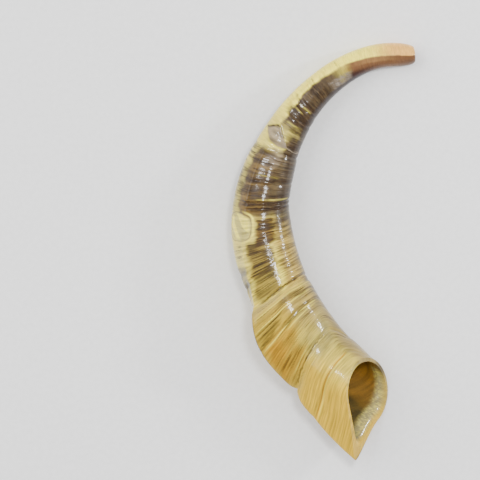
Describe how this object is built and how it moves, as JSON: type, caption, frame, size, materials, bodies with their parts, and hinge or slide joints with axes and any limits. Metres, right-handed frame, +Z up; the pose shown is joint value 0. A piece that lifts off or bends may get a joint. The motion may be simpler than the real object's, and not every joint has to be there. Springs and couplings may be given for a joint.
{
  "type": "shofar",
  "caption": "Ram's horn shofar lying on its side: a cup mouthpiece in the tip, a drilled throat, a natural hollow and a slanted sawn bell, shown as its nested growth cones.",
  "frame": {"origin": "middle of the outline, at table height under the horn as it lies on its side", "axes": "+Z up from the table; +Y runs from the bell end towards the mouthpiece end, the longest way across; the mouthpiece face looks to +X and the bell opens up and to +X"},
  "size_m": [0.1388, 0.3136, 0.0476],
  "materials": {
    "tip_cone": "polished horn keratin under a clear gloss coat",
    "neck_cone": "polished horn keratin under a clear gloss coat",
    "upper_cone": "polished horn keratin under a clear gloss coat",
    "middle_cone": "polished horn keratin under a clear gloss coat",
    "lower_cone": "polished horn keratin under a clear gloss coat",
    "bell_cone": "polished horn keratin under a clear gloss coat"
  },
  "bodies": {
    "root": {"tip_cone": "tip_cone", "neck_cone": "neck_cone", "upper_cone": "upper_cone", "middle_cone": "middle_cone", "lower_cone": "lower_cone", "bell_cone": "bell_cone"}
  },
  "joints": []
}
